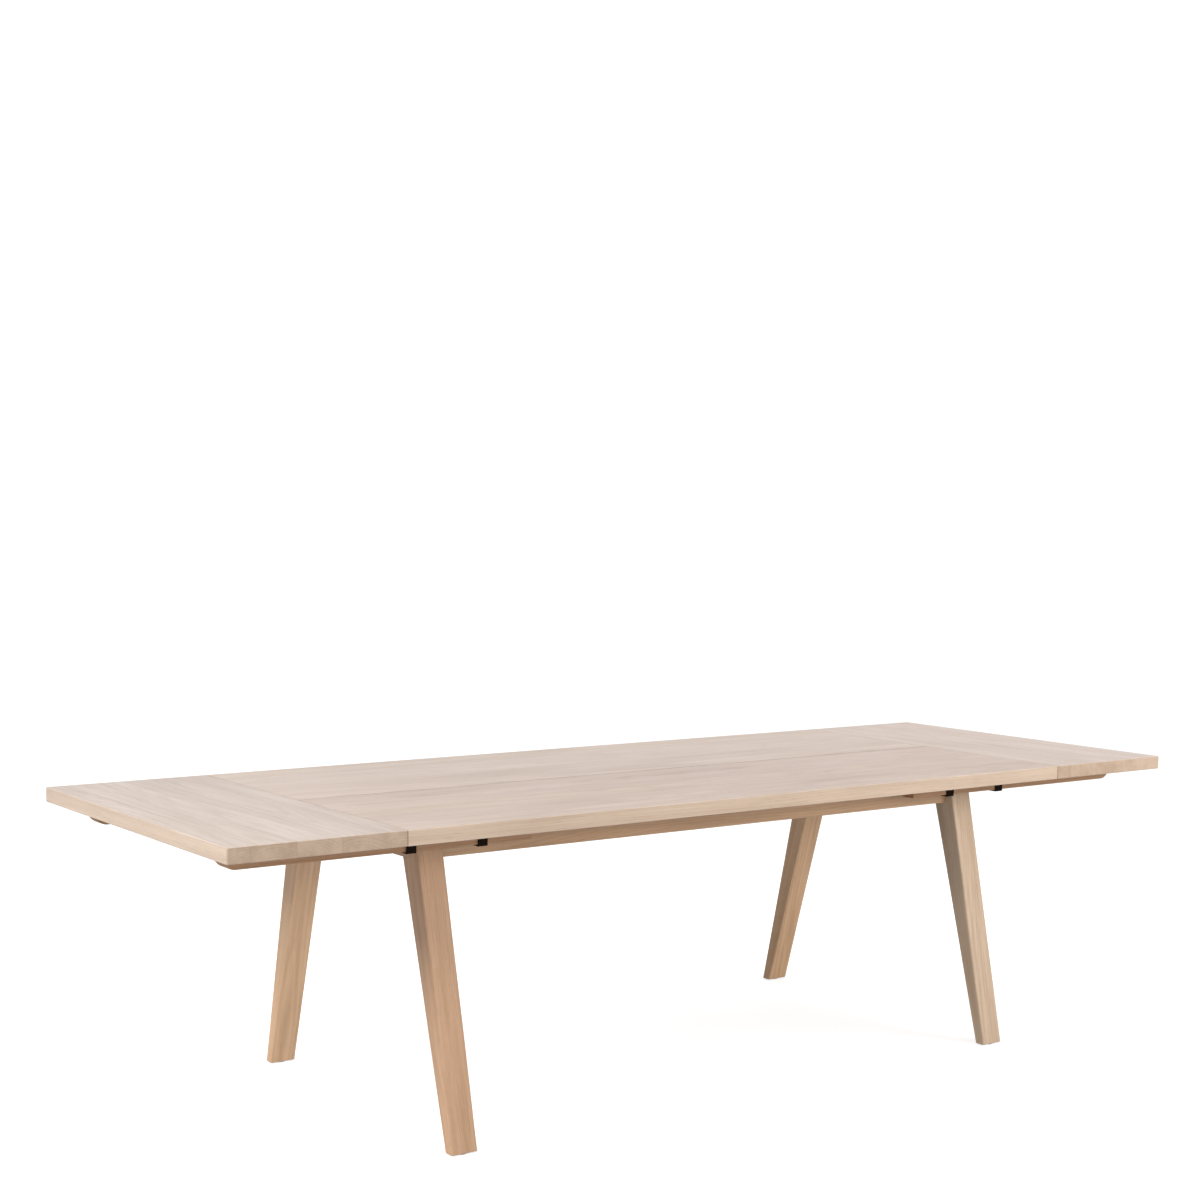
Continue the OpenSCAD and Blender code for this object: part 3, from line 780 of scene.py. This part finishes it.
def make_runner(side, end, seed):
    """A pull-out runner with a quarter round under its tip."""
    node = f"runner_{side}_{end}"
    low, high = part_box(node)
    piece = block(f"pull_runner_{side}_{end}", low, high)
    tip_x = low.x if end == "left" else high.x

    round_over(piece, lambda a, b: lies_at(a, b, X, tip_x) and lies_at(a, b, Z, low.z),
               NOSE_ROUND, 14)
    round_over(piece, lambda a, b: lies_at(a, b, Y, low.y) or lies_at(a, b, Y, high.y),
               RUNNER_ROUND, 3)
    sand(piece)
    look = oak(f"oak_runner_{side}_{end}", RUNNER_TONES, middle_of(node), seed=seed, **ON_EDGE_X)
    dress(piece, look, f"runner_body_{side}_{end}", node)
    repaint(f"runner_stops_{side}_{end}", finish["dowel"])


def make_guide(side, end, place):
    """A black saddle that holds a runner up against the top."""
    node = f"guide_{side}_{end}_{place}"
    piece = from_frame(f"saddle_{side}_{end}_{place}", node, PLASTIC_EASE)
    dress(piece, finish["guide"], "table", node)


# ---------------------------------------------------------------- hardware

def make_hardware():
    """Plates, angles and nuts with eased edges; round metal keeps its CAD shape."""
    for side, end in CORNERS:
        node = f"corner_bracket_{side}_{end}"
        piece = from_frame(f"corner_plate_{side}_{end}", node, PLATE_EASE, 2)
        dress(piece, finish["zinc"], "table", node)
    for name, node in (("rail_angles", "top_clips"), ("hex_nuts", "leg_nuts")):
        piece = from_frame(name, node, SMALL_EASE, 2)
        dress(piece, finish["zinc"], "table", node)
    for node in ("guide_screws", "bracket_screws", "top_clip_screws", "leg_bolts",
                 "leaf_pins_left", "leaf_pins_right"):
        repaint(node, finish["zinc"])
    repaint("pin_sleeves", finish["brass"])
    repaint("panel_dowels", finish["dowel"])


# ---------------------------------------------------------------- studio

FLOOR_SIZE = 60                 # large enough to have no edge in sight
FLOOR_TONE = 0.50               # grey that the floor sends back up to the table
FLOOR_GLOW = 0.70               # light added to the floor where the camera looks at it
SKY_SEEN, SKY_LIGHT = 1.05, 0.64
SOFTBOXES = (                   # name, place, aimed at, width and height, watts
    ("left_high", (-4.4, -0.6, 3.2), (-1.0, 0, 0.5), (2.4, 2.2), 280),
    ("right_front", (3.2, -4.4, 1.9), (0.8, 0, 0.5), (2.8, 2.2), 211),
    ("front_low", (-1.0, -5.0, 1.2), (0, 0, 0.4), (3.4, 1.8), 29),
    ("right_top", (1.9, 0.4, 3.0), (1.0, 0, 0.7), (2.4, 2.0), 42),
)
CAMERA_PLACE = (-3.1015, -4.122, 1.4408)
CAMERA_HEADING = 0.6203         # radians from +Y towards +X
CAMERA_DIP = 0.1386             # radians below the horizon
CAMERA_TILT = 0.0107            # radians round its own line of sight
LENS = 60.33                    # focal length in mm on a 36 mm wide sensor
LENS_SHIFT = (0.0025, 0.1506)   # places the table low in the frame


def make_floor():
    """A pale floor that looks evenly lit to the camera and is clear when seen from below."""
    let_go()
    bpy.ops.mesh.primitive_plane_add(size=FLOOR_SIZE, location=(0, 0, 0))
    floor = bpy.context.object
    floor.name = floor.data.name = "studio_floor"
    made, b, shader, _ = new_finish("pale_floor")
    shader.inputs["Base Color"].default_value = (*3 * [FLOOR_TONE], 1)
    shader.inputs["Roughness"].default_value = 0.8
    shader.inputs["Specular IOR Level"].default_value = 0.1
    shader.inputs["Emission Color"].default_value = (1, 1, 1, 1)
    seen = b.add("ShaderNodeLightPath").outputs["Is Camera Ray"]
    b.join(b.calc("MULTIPLY", seen, FLOOR_GLOW), shader.inputs["Emission Strength"])
    clear = b.add("ShaderNodeBsdfTransparent").outputs[0]
    below = b.add("ShaderNodeNewGeometry").outputs["Backfacing"]
    both = b.add("ShaderNodeMixShader", below, shader.outputs[0], clear).outputs[0]
    output = next(n for n in made.node_tree.nodes if n.type == "OUTPUT_MATERIAL")
    b.join(both, output.inputs[0])
    floor.data.materials.append(made)


def make_sky(seen, given):
    """White surroundings: seen is how bright they look, given is how much light they send."""
    world = bpy.data.worlds.new("studio_white")
    world.use_nodes = True
    b = Board(world.node_tree)
    glow = world.node_tree.nodes["Background"]
    path = b.add("ShaderNodeLightPath").outputs["Is Camera Ray"]
    b.join(b.add("ShaderNodeMapRange", path, 0.0, 1.0, given, seen).outputs[0], glow.inputs[1])
    glow.inputs[0].default_value = (1, 1, 1, 1)
    bpy.context.scene.world = world


def make_softbox(name, where, aim, size, power):
    """A soft lamp that lights the table but doesn't glare on its top from the other side."""
    light = bpy.data.lights.new(name, "AREA")
    light.shape, light.size, light.size_y = "RECTANGLE", *size
    light.energy = power
    lamp = bpy.data.objects.new(name, light)
    lamp.location = where
    lamp.visible_glossy = False
    lamp.rotation_euler = (Vector(aim) - Vector(where)).to_track_quat("-Z", "Y").to_euler()
    bpy.context.scene.collection.objects.link(lamp)


def make_camera(where, heading, dip, tilt, lens, shift):
    """A camera turned to its heading, dipped, and tilted round its line of sight."""
    data = bpy.data.cameras.new("camera")
    data.sensor_width, data.lens = 36, lens
    data.shift_x, data.shift_y = shift
    data.clip_end = 200
    camera = bpy.data.objects.new("camera", data)
    turn = Matrix.Rotation(-heading, 4, "Z") @ Matrix.Rotation(math.pi / 2 - dip, 4, "X")
    camera.matrix_world = Matrix.Translation(where) @ turn @ Matrix.Rotation(tilt, 4, "Z")
    bpy.context.scene.collection.objects.link(camera)
    bpy.context.scene.camera = camera


# ---------------------------------------------------------------- the table

for count, side in enumerate(("front", "back")):
    make_top_half(side)
    make_side_rail(side, 21.0 + count)
for count, end in enumerate(("left", "right")):
    make_leaf(end)
    make_end_rail(end, 23.0 + count)
    make_cross_rail(end, 27.0 + count)
for count, (side, end) in enumerate(CORNERS):
    make_leg(side, end, 50.0 + 7 * count)
    make_glide(side, end)
    make_runner(side, end, 90.0 + 5 * count)
    for place in ("outer", "inner"):
        make_guide(side, end, place)
make_hardware()

make_floor()
make_sky(SKY_SEEN, SKY_LIGHT)
for softbox in SOFTBOXES:
    make_softbox(*softbox)
bpy.context.scene.view_settings.view_transform = "Standard"
make_camera(CAMERA_PLACE, CAMERA_HEADING, CAMERA_DIP, CAMERA_TILT, LENS, LENS_SHIFT)
